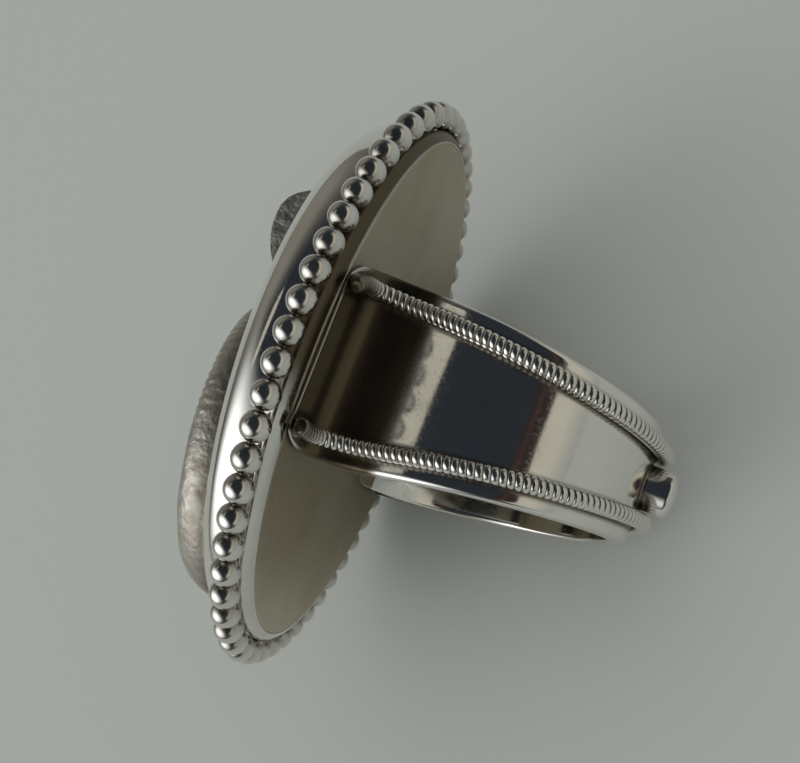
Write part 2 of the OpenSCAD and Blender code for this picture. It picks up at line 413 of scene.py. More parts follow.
class NodeBoard:
    """Lays out the nodes of one material or world."""

    def __init__(self, tree: bpy.types.NodeTree) -> None:
        """Clears the tree."""
        self.tree = tree
        tree.nodes.clear()

    def add(self, kind: str, **settings: object) -> bpy.types.Node:
        """Adds a node and sets its properties.

        Args:
            kind: the node's type in bpy.
            settings: properties of the node.

        Returns:
            The node.
        """
        node = self.tree.nodes.new(kind)
        for name, value in settings.items():
            setattr(node, name, value)
        return node

    def feed(self, node: bpy.types.Node, **inputs: object) -> bpy.types.Node:
        """Sets a node's inputs, each to a value or to another node's output.

        Args:
            node: the node to feed.
            inputs: sockets by name, with _ for a space, or by number after an i.

        Returns:
            The node.
        """
        for name, value in inputs.items():
            numbered = name[0] == "i" and name[1:].isdigit()
            socket = node.inputs[int(name[1:]) if numbered else name.replace("_", " ")]
            if isinstance(value, bpy.types.NodeSocket):
                self.tree.links.new(value, socket)
            else:
                socket.default_value = value
        return node

    def noise(self, where: object, scale: float, detail: float) -> bpy.types.NodeSocket:
        """Smooth noise from 0 to 1.

        Args:
            where: coordinates, in millimetres.
            scale: waves to the millimetre.
            detail: number of finer layers.

        Returns:
            The noise's value.
        """
        node = self.add("ShaderNodeTexNoise")
        self.feed(node, Vector=where, Scale=scale, Detail=detail)
        return node.outputs["Fac"]

    def spread(
        self, value: object, span: Span, to: Span = (0.0, 1.0), soft: bool = False
    ) -> bpy.types.NodeSocket:
        """Value carried from one range to another.

        Args:
            value: what is carried over.
            span: the range that it is read in.
            to: results at the span's two ends.
            soft: the result leaves and reaches its ends gently.

        Returns:
            The result, held between the two ends.
        """
        kind = "SMOOTHSTEP" if soft else "LINEAR"
        node = self.add("ShaderNodeMapRange", interpolation_type=kind)
        self.feed(node, Value=value, From_Min=span[0], From_Max=span[1], To_Min=to[0], To_Max=to[1])
        return node.outputs["Result"]

    def maths(self, kind: Sum, first: object, second: object = 0.0) -> bpy.types.NodeSocket:
        """Result of one sum on two values."""
        node = self.add("ShaderNodeMath", operation=kind.value)
        return self.feed(node, i0=first, i1=second).outputs[0]

    def along(self, way: object, axis: Array) -> bpy.types.NodeSocket:
        """How far a direction goes along an axis: their dot product."""
        node = self.add("ShaderNodeVectorMath", operation="DOT_PRODUCT")
        return self.feed(node, i0=way, i1=tuple(axis)).outputs["Value"]

    def mixed(self, share: object, first: object, second: object) -> bpy.types.NodeSocket:
        """Colour between two colours.

        Args:
            share: 0 for the first colour and 1 for the second.
            first: colour or socket.
            second: colour or socket.

        Returns:
            The mixed colour.
        """
        node = self.add("ShaderNodeMix", data_type="RGBA")
        pair = [c if isinstance(c, bpy.types.NodeSocket) else (*c, 1.0) for c in (first, second)]
        return self.feed(node, i0=share, i6=pair[0], i7=pair[1]).outputs[2]

    def shade(self, **inputs: object) -> None:
        """Gives the material its shader, with these inputs, and its output."""
        shader = self.feed(self.add("ShaderNodeBsdfPrincipled"), **inputs)
        self.feed(self.add("ShaderNodeOutputMaterial"), Surface=shader.outputs[0])


@dataclass(frozen=True)
class SilverFinish:
    """Silver with tarnish in hollows, painted shade, faint clouds, specks of wear, grain and
    polishing lines.

    Depths are in millimetres, and scales are in waves to the millimetre.
    """

    slot: Slot
    metal: Colour
    cloud: Colour
    patina_and_shade_colour: Colour
    roughness: Span
    groove_rough: float = 0.25
    cloud_scale: float = 0.3
    cloud_span: Span = (0.42, 0.72)
    rough_span: Span = (0.3, 0.7)
    speck: float = 0.0
    speck_scale: float = 5.0
    speck_span: Span = (0.48, 0.74)
    wave_scale: float = 0.35
    wave_depth: float = 0.0
    line_scale: float = 1.2
    line_depth: float = 0.0
    line_stretch: tuple[float, float, float] = (1.0, 14.0, 1.0)
    grain_scale: float = 6.0
    grain_depth: float = 0.001

    def material(self) -> bpy.types.Material:
        """Builds the material on Object coordinates, with the piece's tarnish and painted shade.

        Returns:
            The material.
        """
        made = bpy.data.materials.new(self.slot.value)
        made.use_nodes = True
        board = NodeBoard(made.node_tree)
        place = board.add("ShaderNodeTexCoord").outputs["Object"]
        scaling = board.add("ShaderNodeMapping")
        scaled = board.feed(scaling, Vector=place, Scale=(1 / MM,) * 3).outputs[0]
        patina_and_shade = board.add("ShaderNodeAttribute", attribute_name="patina_and_shade").outputs["Fac"]
        clouds = board.noise(scaled, self.cloud_scale, 4.0)
        colour = board.mixed(board.spread(clouds, self.cloud_span), self.metal, self.cloud)
        # Tarnish and painted shade mix the patina colour into the metal.
        colour = board.mixed(patina_and_shade, colour, self.patina_and_shade_colour)
        rough = board.spread(clouds, self.rough_span, self.roughness)
        dull = board.maths(Sum.TIMES, patina_and_shade, self.groove_rough)
        specks = board.noise(scaled, self.speck_scale, 4.0)
        specks = board.spread(specks, self.speck_span, (0.0, self.speck))
        rough = board.maths(Sum.ADD, board.maths(Sum.ADD, rough, dull), specks)
        normal = self.relief(board, scaled)
        board.shade(Base_Color=colour, Metallic=1.0, Roughness=rough, Normal=normal)
        return made

    def relief(self, board: NodeBoard, scaled: bpy.types.NodeSocket) -> bpy.types.NodeSocket:
        """Normal of the fine relief: slow waves, polishing lines and grain, one bump on another.

        Args:
            board: the material's nodes.
            scaled: coordinates in millimetres.

        Returns:
            The last bump's normal.
        """
        stretching = board.add("ShaderNodeMapping")
        stretched = board.feed(stretching, Vector=scaled, Scale=self.line_stretch).outputs[0]
        layers = [
            (board.noise(scaled, self.wave_scale, 1.0), self.wave_depth),
            (board.noise(stretched, self.line_scale, 4.0), self.line_depth),
            (board.noise(scaled, self.grain_scale, 3.0), self.grain_depth),
        ]
        normal = None
        for height, depth in layers:
            if depth <= 0:
                continue
            bump = board.add("ShaderNodeBump")
            board.feed(bump, Height=height, Strength=1.0, Distance=depth * MM)
            if normal is not None:
                board.feed(bump, Normal=normal)
            normal = bump.outputs[0]
        return normal


FINISHES = (
    SilverFinish(
        slot=Slot.POLISHED,
        metal=(0.86, 0.85, 0.82),
        cloud=(0.80, 0.78, 0.73),
        patina_and_shade_colour=(0.13, 0.104, 0.068),
        roughness=(0.05, 0.11),
        speck=0.11,
        wave_depth=0.012,
        line_depth=0.0008,
        grain_scale=9.0,
        grain_depth=0.0006,
    ),
    SilverFinish(
        slot=Slot.MATT,
        metal=(0.55, 0.50, 0.395),
        cloud=(0.45, 0.395, 0.29),
        patina_and_shade_colour=(0.21, 0.16, 0.10),
        roughness=(0.38, 0.5),
        cloud_scale=0.12,
        grain_scale=4.5,
        grain_depth=0.03,
    ),
    SilverFinish(
        slot=Slot.CAST,
        metal=(0.72, 0.70, 0.65),
        cloud=(0.50, 0.46, 0.39),
        patina_and_shade_colour=(0.17, 0.148, 0.115),
        roughness=(0.28, 0.42),
        cloud_scale=0.8,
        wave_scale=1.4,
        wave_depth=0.09,
        grain_scale=4.0,
        grain_depth=0.045,
    ),
)


# Pieces


def linked(name: str, data: bpy.types.ID) -> bpy.types.Object:
    """New object in the scene.

    Args:
        name: the object's name.
        data: its mesh, light or camera.

    Returns:
        The object.
    """
    made = bpy.data.objects.new(name, data)
    bpy.context.scene.collection.objects.link(made)
    return made


@dataclass
class Piece(ABC):
    """One made piece that stands for a CAD node of the same form."""

    node: str
    finish: Slot = Slot.POLISHED
    crease: float = math.radians(50)

    @abstractmethod
    def surface(self) -> Surface:
        """The piece's surface in the ring's own axes."""

    def build(self, pose: RestPose) -> bpy.types.Object:
        """Puts the surface into a mesh and hangs it on the frame.

        Args:
            pose: how the ring lies.

        Returns:
            The piece's object.
        """
        shape = self.surface().faced_out()
        mesh = bpy.data.meshes.new(self.node)
        mesh.vertices.add(len(shape.points))
        mesh.vertices.foreach_set("co", pose.place(shape.points).astype(np.float32).ravel())
        corners = np.concatenate([f.ravel() for f in shape.faces]).astype(np.int32)
        sides = np.concatenate([np.full(len(f), f.shape[1]) for f in shape.faces])
        starts = np.concatenate([[0], np.cumsum(sides)[:-1]]).astype(np.int32)
        mesh.loops.add(len(corners))
        mesh.loops.foreach_set("vertex_index", corners)
        mesh.polygons.add(len(sides))
        mesh.polygons.foreach_set("loop_start", starts)
        mesh.update(calc_edges=True)
        mesh.validate()
        # Tarnish and painted shade at each point, read by the material.
        patina_and_shade = np.zeros(len(shape.points)) if shape.patina_and_shade is None else shape.patina_and_shade
        layer = mesh.attributes.new("patina_and_shade", "FLOAT", "POINT")
        layer.data.foreach_set("value", patina_and_shade.astype(np.float32))
        mesh.shade_smooth()
        mesh.set_sharp_from_angle(angle=self.crease)
        piece = linked(self.node + "_dressed", mesh)
        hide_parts(self.node)
        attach(piece, "root")
        log.info("%s: %d faces", piece.name, len(mesh.polygons))
        return piece

    def dress(self, piece: bpy.types.Object, materials: dict[Slot, bpy.types.Material]) -> None:
        """Gives the piece its finish, out of a material for each slot."""
        piece.data.materials.append(materials[self.finish])


@dataclass
class Shank(Piece):
    """Tapered band with a round finger hole and feet that turn outward under the head."""

    node: str = "shank"
    band: BandLine = field(default_factory=BandLine)
    edge_r: float = 0.28
    edge_part: float = 0.45
    tip_turns: tuple[float, ...] = (60, 30, 8)
    inner_turn: float = math.radians(38)
    inner_x: float = 7.6
    bend_knots: Span = (0.35, 0.55)
    row_counts: tuple[int, ...] = (96, 10, 8, 8, 10, 18, 8)
    across: int = 61
    samples: int = 400
    # Painted shade on the bend and on the flat foot under the head
    bend_painted_shade: float = 1.0
    bend_z: Span = (3.45, 4.55)
    foot_painted_shade: float = 0.3
    foot_x: Span = (9.8, 11.0)
    seam_tarnish: float = 0.95
    wire_seam: Span = (0.5, 0.78)
    collet_seam: Span = (1.7, 2.35)

    def half_lines(self) -> tuple[Array, Array]:
        """Outer and inner line of the +X half, from the base to the foot's edge.

        The outer line is the side line. The inner line follows the finger hole,
        turns up the inner end of the shoulder and runs out along the top. Both
        pass their knots together, so a line from one to the other stays inside
        the metal. The two meet round the foot's blunt edge.

        Returns:
            The outer points and the inner points, as x and z.
        """
        band = self.band
        open_x = math.sqrt(band.outer_r ** 2 - band.bore_r ** 2)
        open_z = math.sqrt(band.bore_r ** 2 - open_x ** 2)
        lengths = band.lengths(0)
        ends = np.concatenate([[0], np.cumsum(lengths)])
        ends[-1] -= band.wire_over
        bend = ends[2] + lengths[2] * np.array(self.bend_knots)
        knots = np.concatenate([ends[:3], bend, ends[3:]])
        flat_x, tip_x = band.side(ends[4:] / lengths.sum(), 0.0)[0]
        hole = np.array([-math.pi / 2, band.shoulder, self.inner_turn, math.atan2(open_z, open_x)])
        hole_run = band.bore_r * (hole - hole[0])
        top_run = np.array([open_x, self.inner_x, flat_x, tip_x]) - open_x
        inner_knots = np.append(hole_run, hole_run[-1] + band.bore_r - open_z + top_run)
        at = np.concatenate([[0], np.cumsum(self.row_counts)])
        row = np.arange(at[-1] + 1)
        side_x, side_z = band.side(np.interp(row, at, knots) / lengths.sum(), 0.0)
        run = np.interp(row, at, inner_knots)
        angle = np.minimum(run / band.bore_r + hole[0], hole[-1])
        past = np.maximum(run - hole_run[-1], 0)
        up = np.minimum(past, band.bore_r - open_z)
        inner_x = band.bore_r * np.cos(angle) + past - up
        inner_z = band.bore_r * np.sin(angle) + up
        edge = band.foot_edge / 2
        turn = np.radians(self.tip_turns)
        round_x = side_x[-1] + edge * np.cos(turn)
        round_z = edge * np.sin(turn)
        outer = [np.append(side_x, round_x), np.append(side_z, side_z[-1] + edge - round_z)]
        inner = [np.append(inner_x, round_x), np.append(inner_z, side_z[-1] + edge + round_z)]
        return np.column_stack(outer), np.column_stack(inner)

    def spread(self, z: Array) -> tuple[Array, Array]:
        """How wide the band spreads.

        Args:
            z: heights.

        Returns:
            Middle of the band at each height, and its half width out to the
            flanges' edges.
        """
        u = np.linspace(0, 1, self.samples)
        height = self.band.side(u, 0.0)[1]
        half = self.band.wire_out(u) + self.band.flange(u)
        return np.interp(z, height, self.band.middle(u)), np.interp(z, height, half)

    def wire_at(self, z: Array) -> Array:
        """Distance of a wire's middle from the band's middle at a height."""
        u = np.linspace(0, 1, self.samples)
        return np.interp(z, self.band.side(u, self.band.wire_lift)[1], self.band.wire_out(u))

    def section(self) -> tuple[Array, Array, Array]:
        """Loop of a rounded oblong.

        Returns:
            Side from -1 to 1, depth from 0 at the outside to 1 at the bore,
            and direction of the corner's rounding, in radians.
        """
        across = np.linspace(-1, 1, self.across)
        down = np.array([0, 0.12, 0.5, 0.88, 1])
        bend = np.array([67.5, 45, 22.5])
        runs = [
            (across, 0, 90),
            (1, 0, bend),
            (1, down, 0),
            (1, 1, bend - 90),
            (-across, 1, -90),
            (-1, 1, bend - 180),
            (-1, 1 - down, 180),
            (-1, 0, bend + 90),
        ]
        runs = [[np.atleast_1d(v).astype(float) for v in run] for run in runs]
        parts = [np.broadcast_arrays(*run) for run in runs]
        side, depth, turn = (np.concatenate(column) for column in zip(*parts))
        return side, depth, np.radians(turn)

    def tarnish_and_painted_shade(self, outer: Array, y: Array) -> Array:
        """Painted shade outside on the bend and foot, tarnish along the wires and round the collet.

        Args:
            outer: x and z of the outer line.
            y: places across the band, a row for each point of the line.

        Returns:
            How dark the outside is painted at each place.
        """
        z = outer[:, 1:]
        # Painted shade: full on the bend, less of it on the flat foot.
        foot = (self.foot_painted_shade - self.bend_painted_shade) * smooth(np.abs(outer[:, :1]), self.foot_x)
        painted_shade = self.bend_painted_shade * smooth(z, self.bend_z) + foot
        from_wire = np.abs(np.abs(y - self.spread(z)[0]) - self.wire_at(z))
        from_collet = np.where(z > 0, np.inf, np.hypot(outer[:, :1], y))
        clear = smooth(from_wire, self.wire_seam)
        clear = np.minimum(clear, smooth(from_collet, self.collet_seam))
        return np.maximum(painted_shade, self.seam_tarnish * (1 - clear))

    def surface(self) -> Surface:
        """The section carried along the pair of lines, then mirrored to -X.

        Returns:
            The closed surface.
        """
        outer, inner = (np.concatenate([v[:0:-1] * [-1, 1], v]) for v in self.half_lines())
        side, depth, turn = self.section()
        reach = inner - outer
        length = np.linalg.norm(reach, axis=1)[:, None]
        edge = np.minimum(self.edge_r, self.edge_part * length)
        middle_out, half_out = self.spread(outer[:, 1:])
        middle_in, half_in = self.spread(inner[:, 1:])
        middle = middle_out * (1 - depth) + middle_in * depth
        half = half_out * (1 - depth) + half_in * depth
        y = middle + side * (half - edge) + edge * np.cos(turn)
        deep = edge + depth * (length - 2 * edge) - edge * np.sin(turn)
        xz = outer[:, None, :] + (reach / length)[:, None, :] * deep[:, :, None]
        points = as_points(xz[..., 0], y, xz[..., 1])
        ends = points.reshape(*y.shape, 3)[[0, -1]].mean(axis=1)
        patina_and_shade = np.append(self.tarnish_and_painted_shade(outer, y) * (1 - depth), [self.foot_painted_shade] * 2)
        return Surface(np.concatenate([points, ends]), tube(*y.shape), patina_and_shade)


@dataclass
class WoundWire(Piece):
    """Fine thread wound round a core and soldered along one edge of the band."""

    crease: float = math.radians(75)
    edge: Edge = Edge.TOP
    band: BandLine = field(default_factory=BandLine)
    pitch: float = 0.43
    thread_h: float = 0.1
    tip_square: float = 0.02
    nudge: float = 0.05
    thread_steps: int = 8
    round_steps: int = 20
    darkening: float = 0.8
    most_tarnish: float = 0.95
    end_darkening: float = 0.85
    end_span: Span = (0.88, 0.97)

    def centre(self, run: Array, total: float) -> Array:
        """Middle line of the wire.

        Args:
            run: distance from the wire's -X end.
            total: length of the wire.

        Returns:
            A point for each distance.
        """
        t = np.clip(2 * run / total - 1, -1, 1)
        u = np.abs(t)
        x, z = self.band.side(u, self.band.wire_lift)
        y = self.band.middle(u) + self.edge.value * self.band.wire_out(u)
        return np.stack([np.sign(t) * x, y, z], axis=-1)

    def faces(self, rows: int) -> list[Array]:
        """Faces of the sheared grid and its two ends.

        The last column meets the first one a winding further on. A fan closes
        each end, round a point that follows the grid's points.

        Args:
            rows: number of rows of points.

        Returns:
            Quads of the grid, quads of the seam, and the two fans.
        """
        columns = self.round_steps
        step = self.thread_steps
        row = np.arange(rows - 1 - step)
        near = row * columns + columns - 1
        far = (row + step) * columns
        seam = np.stack([near, far, far + columns, near + columns], axis=-1)
        column = np.arange(columns)
        back = np.arange(1, step + 1)
        start = np.append(column, back[::-1] * columns)
        end = np.append((rows - 1) * columns + column, (rows - back) * columns - 1)
        count = rows * columns
        return [grid_quads(rows, columns), seam, fan(start[::-1], count), fan(end, count + 1)]

    def surface(self) -> Surface:
        """Round surface whose radius swells into half an oval over each winding.

        Radius = core + thread height times the sine of the angle across the
        thread. The grid is sheared, so that a row follows the thread round the
        core: each column lies further along by its share of the pitch. At both
        ends the radius draws in along a quarter circle. Tarnish lies between
        the windings, and the wire is darker towards both ends.

        Returns:
            The closed surface.
        """
        total = 2 * self.band.lengths(self.band.wire_lift).sum()
        windings = int(total / self.pitch) - 1
        pitch = total / (windings + 1)
        row = np.arange(windings * self.thread_steps + 1)
        angle = row % self.thread_steps * math.pi / self.thread_steps
        along = pitch * (row // self.thread_steps + (1 - np.cos(angle)) / 2)
        radius = self.band.wire_r - self.thread_h * (1 - np.sin(angle))
        turn = full_turn(self.round_steps)
        run = along[:, None] + pitch * turn / (2 * math.pi)
        middle = self.centre(run, total)
        ahead = self.centre(run + self.nudge, total) - self.centre(run - self.nudge, total)
        ahead /= np.linalg.norm(ahead, axis=-1, keepdims=True)
        out = np.cross(ahead, [0.0, 1.0, 0.0])
        out /= np.linalg.norm(out, axis=-1, keepdims=True)
        over = np.cross(ahead, out)
        ring = out * np.cos(turn)[:, None] + over * np.sin(turn)[:, None]
        past = 1 - np.minimum(run, total - run) / self.band.wire_r
        closed = np.sqrt(np.maximum(self.tip_square, 1 - np.clip(past, 0, 1) ** 2))
        points = (middle + ring * (radius[:, None] * closed)[:, :, None]).reshape(-1, 3)
        ends = middle[[0, -1]].mean(axis=1)
        between = np.clip(self.darkening * (1 - np.sin(angle)), 0, self.most_tarnish)[:, None]
        # Darker towards both ends, where the wire turns in at the plate.
        at_end = self.end_darkening * smooth(np.abs(2 * run / total - 1), self.end_span)
        patina_and_shade = np.append(between + (1 - between) * at_end, [1, 1])
        return Surface(np.concatenate([points, ends]), self.faces(len(row)), patina_and_shade)


@dataclass
class BaseCollet(Piece):
    """Small round collet on the base of the band, with a rolled rim and a low domed end."""

    node: str = "base_collet"
    band: BandLine = field(default_factory=BandLine)
    radius: float = 1.42
    height: float = 1.75
    lip: float = 0.35
    cap: float = 0.2
    cap_edge: float = 0.15
    stand_off: float = 0.01
    fillet: Span = (0.07, 0.02)
    tarnish_height: float = 0.25
    around: int = 64
    steps: int = 8

    def surface(self) -> Surface:
        """Profile turned about Z, whose lowest row follows the round band.

        The foot lies on a cylinder about Y: its depth is the root of the
        band's radius squared less x squared. The wall runs straight out from
        it, the rim is a quarter round, and the end a low parabola. Tarnish
        lies round the foot.

        Returns:
            The closed surface.
        """
        base = self.band.outer_r
        wall = self.height - self.lip
        turn = full_turn(self.around)
        up = np.concatenate([[0, 0.03, 0.1], np.linspace(0.2, 0.97, self.steps), [1]])
        bend = np.linspace(0, math.pi / 2, self.steps + 1)[1:]
        inward = np.linspace(1, 0, self.steps + 1)[1:-1]
        flat = self.radius - self.lip
        wall_r = np.full(len(up), self.radius)
        wall_r[:2] += self.fillet
        radius = np.concatenate([wall_r, flat + self.lip * np.cos(bend), flat * inward])
        rise = np.concatenate([
            up * wall,
            self.height - self.lip * (1 - np.sin(bend)),
            self.height + self.cap * (1 - inward ** 2) - self.cap * self.cap_edge * inward,
        ])
        x = radius[:, None] * np.cos(turn)
        y = radius[:, None] * np.sin(turn)
        foot = np.sqrt((base + self.stand_off) ** 2 - x ** 2) - base
        z = -(base + rise[:, None] + foot * np.clip(1 - rise / wall, 0, 1)[:, None])
        middles = [[0, 0, -base - self.stand_off], [0, 0, -base - self.height - self.cap]]
        points = np.concatenate([as_points(x, y, z), middles])
        patina_and_shade = np.repeat(np.clip(1 - rise / self.tarnish_height, 0, 1), self.around)
        return Surface(points, tube(len(radius), self.around), np.append(patina_and_shade, [1, 0]))


@dataclass
class OvalPiece(Piece):
    """Piece of the head whose section is carried round ovals."""

    head: HeadLine = field(default_factory=HeadLine)
    around: int = 192

    def rings(self, half_x: Array, half_y: Array, z: Array) -> Array:
        """Ovals of these half widths, half lengths and heights, row after row."""
        turn = full_turn(self.around)
        return as_points(half_x[:, None] * np.cos(turn), half_y[:, None] * np.sin(turn), z[:, None])


@dataclass
class BackPlate(OvalPiece):
    """Flat matt plate that closes the back of the head."""

    node: str = "back_plate"
    finish: Slot = Slot.MATT
    edge_r: float = 0.12
    edge_steps: int = 5
    rows_in: tuple[float, ...] = (12.0, 10.0, 8.0, 6.0, 4.5, 3.0, 1.2, 0.5, 0.25)
    # Painted shade over the -Y half of the plate
    darkening: float = 0.42
    painted_shade_from: Span = (0.0, 7.0)
    painted_shade_to: Span = (10.0, 15.5)

    def surface(self) -> Surface:
        """Ovals from the middle of the back, round the edge, to the middle of the front.

        Painted shade lies on the -Y half and gives way again towards the plate's end.

        Returns:
            The closed surface.
        """
        head = self.head
        bend = np.linspace(0, math.pi / 2, self.edge_steps)
        fall = self.edge_r * (1 - np.sin(bend))
        climb = self.edge_r * (1 - np.cos(bend))
        inset = np.concatenate([self.rows_in, fall, climb, self.rows_in[::-1]])
        level = np.zeros(len(self.rows_in))
        height = np.concatenate([level, climb, head.plate_t - fall, level + head.plate_t])
        points = self.rings(head.plate[0] - inset, head.plate[1] - inset, head.plate_z + height)
        middles = [[0, 0, head.plate_z], [0, 0, head.plate_z + head.plate_t]]
        points = np.concatenate([points, middles])
        # Painted shade: darker over the -Y half, lighter again towards its end.
        down = -points[:, 1]
        patina_and_shade = smooth(down, self.painted_shade_from) * (1 - smooth(down, self.painted_shade_to))
        return Surface(points, tube(len(inset), self.around), self.darkening * patina_and_shade)


@dataclass
class RimWall(OvalPiece):
    """Wall that spreads from the plate's edge to the seat behind the beads."""

    node: str = "rim_wall"
    foot_out: float = 0.02
    foot_height: float = 0.05
    seat_height: float = 0.62
    flare: float = 0.14
    out_power: float = 1.15
    rise_power: float = 1.6
    steps: int = 12
    turn_out: float = 0.04
    turn_heights: Span = (0.72, 0.82)
    top_edge: float = 0.05
    # Tarnish and painted shade fade towards the -Y end, down to this share.
    low_end_share: float = 0.15
    painted_shade_y: Span = (-5.0, -1.0)
    patina_and_shade_start: Span = (0.02, 0.14)

    def surface(self) -> Surface:
        """Closed section carried round the head.

        Outside, it leaves the plate's edge on powers of a sine and of a
        straight line, and turns up behind the beads. Inside, it is plain.
        Tarnish and painted shade lie behind the beads. The painted shade is
        darker towards the +Y end, and little of either is left at the -Y end.

        Returns:
            The closed surface.
        """
        head = self.head
        t = np.linspace(0, 1, self.steps)
        out = np.sin(t * math.pi / 2)[:, None] ** self.out_power
        rise = self.foot_height + (self.seat_height - self.foot_height) * t ** self.rise_power
        plate, seat = head.plate + self.foot_out, head.seat
        outside = np.column_stack([plate + out * (seat + self.flare - plate), rise])
        floor = head.plate_t + GAP
        inside = [
            [*seat + self.turn_out, self.turn_heights[0]],
            [*seat, self.turn_heights[1]],
            [*seat, head.wall_top - self.top_edge],
            [*seat - self.top_edge, head.wall_top],
            [*seat - head.wall_t, head.wall_top],
            [*seat - head.wall_t, floor],
            [*plate, floor],
            [*plate, floor / 2],
        ]
        rows = np.concatenate([outside, inside])
        points = self.rings(rows[:, 0], rows[:, 1], head.plate_z + rows[:, 2])
        faces = [grid_quads(len(rows), self.around, close_rows=True, close_columns=True)]
        # Tarnish and painted shade behind the beads, fading towards the -Y end.
        depth = np.append(smooth(t, self.patina_and_shade_start), np.ones(len(inside)))
        kept = self.low_end_share + (1 - self.low_end_share) * smooth(points[:, 1], self.painted_shade_y)
        return Surface(points, faces, np.repeat(depth, self.around) * kept)


@dataclass
class BeadRow(Piece):
    """Beaded wire round the head: one surface that swells into a bead and draws in to a neck."""

    node: str = "bead_row"
    head: HeadLine = field(default_factory=HeadLine)
    space: float = 0.06
    phase: float = 0.92
    bead_r: float = 0.9
    neck_r: float = 0.2
    bead_steps: int = 21
    round_steps: int = 32
    samples: int = 7201
    darkening: float = 0.1
    neck_tarnish: float = 1.1
    # Painted shade on the side of each bead that faces the head
    back_painted_shade: float = 0.6
    back_span: Span = (0.0, 0.8)

    def middles(self) -> tuple[Array, Array]:
        """Beads' middles at an even pace along the oval, and the row's direction at each.

        Returns:
            The middles and the unit directions.
        """
        head = self.head
        turn = np.linspace(0, 2 * math.pi, self.samples)
        steps = np.linalg.norm(np.diff(head.row(turn), axis=0), axis=1)
        run = np.concatenate([[0], np.cumsum(steps)])
        count = int(run[-1] / (2 * head.bead_r + self.space))
        at = np.interp((np.arange(count) + self.phase) / count * run[-1], run, turn)
        middle = np.column_stack([head.row(at), np.full(count, head.row_z)])
        ahead = np.roll(middle, -1, axis=0) - np.roll(middle, 1, axis=0)
        return middle, ahead / np.linalg.norm(ahead, axis=1, keepdims=True)

    def surface(self) -> Surface:
        """Round profile carried along the oval.

        Over one bead the angle t runs from one neck to the other: the point
        lies at minus the bead's radius times cos t along the row, and at the
        bead's radius times sin t from it. Tarnish lies at the necks, and painted
        shade on the side that faces the head.

        Returns:
            The closed surface.
        """
        middle, ahead = self.middles()
        up = np.array([0.0, 0.0, 1.0])
        out = np.cross(ahead, up)[:, None, :]
        first = math.asin(self.neck_r / self.bead_r)
        t = np.linspace(first, math.pi - first, self.bead_steps)
        turn = full_turn(self.round_steps)
        along = -self.bead_r * np.cos(t)
        radius = self.bead_r * np.sin(t)
        around = out * np.cos(turn)[:, None] + up * np.sin(turn)[:, None]
        on_line = middle[:, None, :] + ahead[:, None, :] * along[:, None]
        points = on_line[:, :, None, :] + around[:, None, :, :] * radius[:, None, None]
        neck = np.clip(self.neck_tarnish - radius / self.bead_r, 0, 1)[:, None]
        # Painted shade on the side of each bead that faces the head.
        behind = self.back_painted_shade * smooth(-np.cos(turn), self.back_span)
        patina_and_shade = np.tile(np.maximum(self.darkening, np.maximum(neck, behind)).ravel(), len(middle))
        rows = len(middle) * self.bead_steps
        faces = [grid_quads(rows, self.round_steps, close_rows=True, close_columns=True)]
        return Surface(points.reshape(-1, 3), faces, patina_and_shade)


@dataclass(frozen=True)
class DomeForm:
    """Height of the head's front over any point of it."""

    head: HeadLine = field(default_factory=HeadLine)
    height: float = 4.7
    curve: float = 0.28
    lean: float = 0.22

    def rise(self, x: Array | float, y: Array | float) -> Array:
        """Height over a point.

        The foot's height, plus the dome's height times a power of how far
        inside the seat's oval the point lies, more towards the +Y end.

        Args:
            x: place across the finger.
            y: place along the finger.

        Returns:
            The height, z.
        """
        half_x, half_y = self.head.seat
        inside = np.maximum(0, 1 - (x / half_x) ** 2 - (y / half_y) ** 2)
        lift = np.power(inside, self.curve) * (1 + self.lean * y / half_y)
        return self.head.dome_z + self.height * lift


@dataclass
class Dome(Piece):
    """Polished hollow front of the head."""

    node: str = "dome"
    form: DomeForm = field(default_factory=DomeForm)
    around: int = 192
    steps: int = 40

    def shell(self, inset: float) -> Array:
        """Rows of one face of the shell, from the foot to near the top.

        Each row is an oval that shrinks with the cosine of its angle, at a
        height that grows with a power of the angle's sine.

        Args:
            inset: distance of this face inside the front.

        Returns:
            The points, row after row.
        """
        form = self.form
        t = np.linspace(0, 1, self.steps + 1)[:-1, None] ** 2 * math.pi / 2
        turn = full_turn(self.around)
        half_x, half_y = form.head.seat - inset
        across = np.cos(t) * np.cos(turn)
        length = np.cos(t) * np.sin(turn)
        lift = np.sin(t) ** (2 * form.curve) * (1 + form.lean * length)
        z = form.head.dome_z + (form.height - inset) * lift
        return np.stack([half_x * across, half_y * length, z], axis=-1)

    def surface(self) -> Surface:
        """Front rows from the top to the foot, and inner rows back up.

        Returns:
            The closed surface.
        """
        wall = self.form.head.wall_t
        top = self.form.head.dome_z + self.form.height
        rows = np.concatenate([self.shell(0.0)[::-1], self.shell(wall)])
        points = np.concatenate([rows.reshape(-1, 3), [[0, 0, top], [0, 0, top - wall]]])
        return Surface(points, tube(len(rows), self.around))


